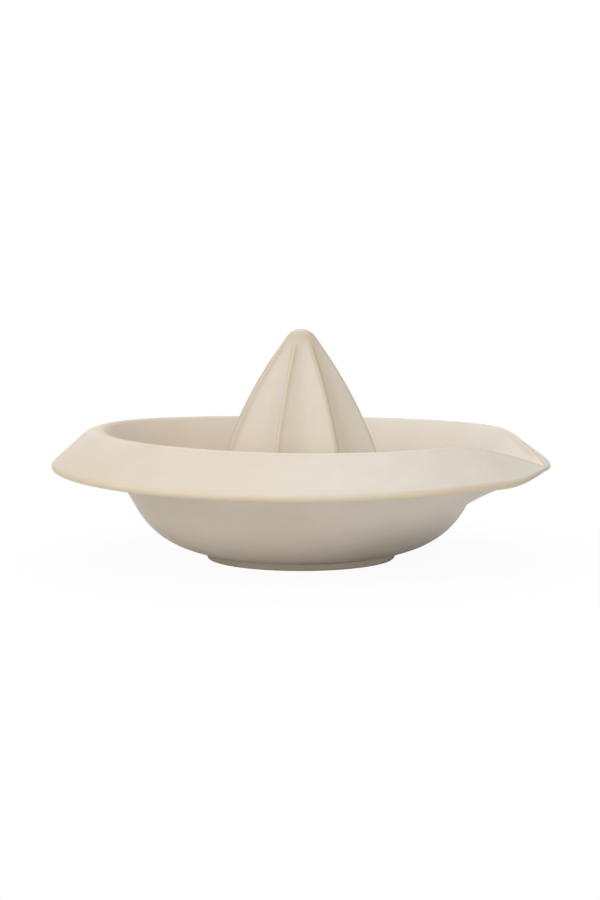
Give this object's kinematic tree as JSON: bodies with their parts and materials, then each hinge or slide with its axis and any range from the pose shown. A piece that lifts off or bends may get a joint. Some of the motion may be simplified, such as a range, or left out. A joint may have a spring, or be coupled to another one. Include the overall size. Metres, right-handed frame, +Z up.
{
  "type": "citrus juicer",
  "caption": "Glazed stoneware citrus juicer: a footed bowl with a fluted reamer cone, a brim that slopes down and a pointed pouring spout.",
  "frame": {"origin": "centre of the foot ring, on the plane that the juicer stands on", "axes": "+Z up along the reamer, +X towards the spout"},
  "size_m": [0.18, 0.18, 0.083],
  "materials": {
    "cream_glaze": "satin",
    "thin_glaze": "matte"
  },
  "bodies": {
    "root": {"foot_ring": "thin_glaze", "bowl": "cream_glaze", "reamer": "cream_glaze", "rim": "cream_glaze", "spout": "cream_glaze"}
  },
  "joints": []
}
